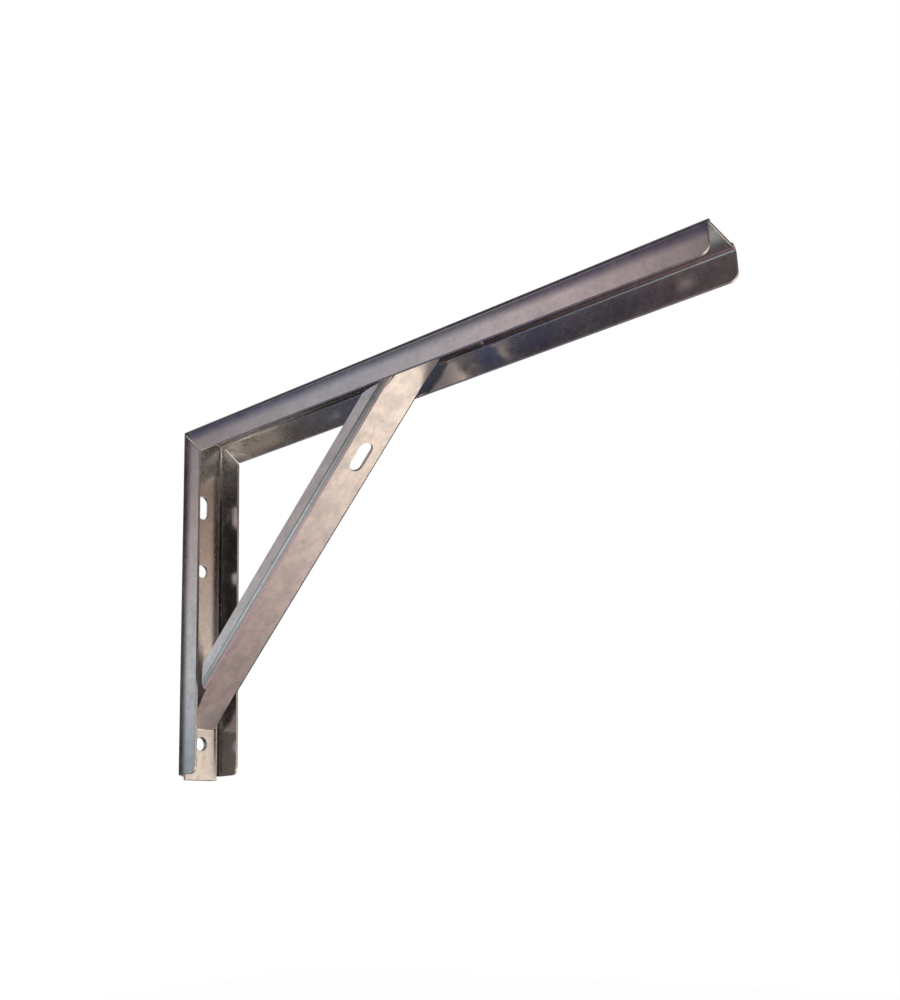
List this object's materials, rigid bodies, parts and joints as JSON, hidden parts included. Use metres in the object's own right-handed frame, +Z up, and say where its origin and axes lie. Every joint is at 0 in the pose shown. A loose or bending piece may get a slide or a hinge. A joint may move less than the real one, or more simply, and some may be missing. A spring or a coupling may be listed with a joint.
{
  "type": "shelf bracket",
  "caption": "Folded steel channel bracket with a long shelf arm, a shorter wall leg and a diagonal channel brace.",
  "frame": {"origin": "on the wall face of the leg, on its centre line, half way between the shelf face and the foot", "axes": "+X out from the wall along the arm, +Z up to the shelf face, Y across the bracket"},
  "size_m": [0.33, 0.03, 0.202],
  "materials": {
    "channel_steel": "bright zinc plate on cold-rolled sheet, glossy, faintly mottled",
    "brace_steel": "bright zinc plate on cold-rolled sheet, glossy, faintly mottled"
  },
  "bodies": {
    "root": {"folded_channel": "channel_steel", "brace": "brace_steel"}
  },
  "joints": []
}
